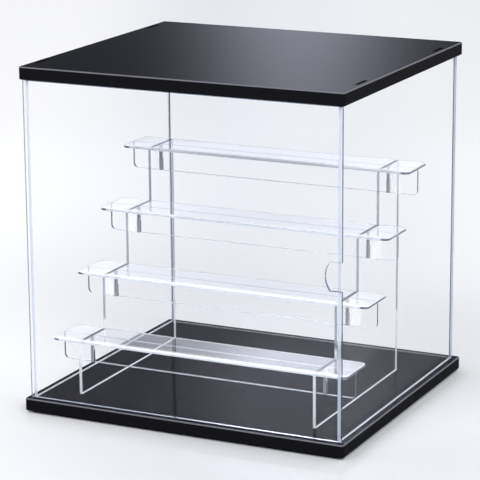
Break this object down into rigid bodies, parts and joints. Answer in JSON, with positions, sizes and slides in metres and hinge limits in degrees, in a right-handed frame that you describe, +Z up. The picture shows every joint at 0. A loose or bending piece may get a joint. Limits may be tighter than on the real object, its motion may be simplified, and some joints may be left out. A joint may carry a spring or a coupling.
{
  "type": "tiered display case",
  "caption": "Clear box-shaped display case with a black base and lid, a hinged front door with a finger notch, and a clear stepped riser inside for small collectables.",
  "frame": {"origin": "centre of the footprint, on the surface that the plinth stands on", "axes": "+X to the right seen from the front, +Y to the rear, +Z up; the door faces -Y and its hinge is at -X"},
  "size_m": [0.323, 0.292, 0.327],
  "materials": {
    "black_moulding": "semi-gloss",
    "clear_wall": "clear, polished",
    "clear_riser": "clear, polished"
  },
  "bodies": {
    "case": {"base": "black_moulding", "left_wall": "clear_wall", "right_wall": "clear_wall", "back_wall": "clear_wall", "riser_side_left": "clear_riser", "riser_side_right": "clear_riser", "shelf_1": "clear_riser", "shelf_2": "clear_riser", "shelf_3": "clear_riser", "shelf_4": "clear_riser", "rail_1": "clear_riser", "rail_2": "clear_riser", "rail_3": "clear_riser", "rail_4": "clear_riser"},
    "lid": {"lid": "black_moulding"},
    "door": {"front_door": "clear_wall"}
  },
  "joints": [
    {"name": "lid_lift", "type": "slide", "parent": "case", "child": "lid", "axis": [0, 0, 1], "range_m": [0, 0.04]},
    {"name": "door_hinge", "type": "hinge", "parent": "case", "child": "door", "pos_m": [-0.156, -0.1395, 0.1645], "axis": [0, 0, -1], "range_deg": [0, 180]}
  ]
}
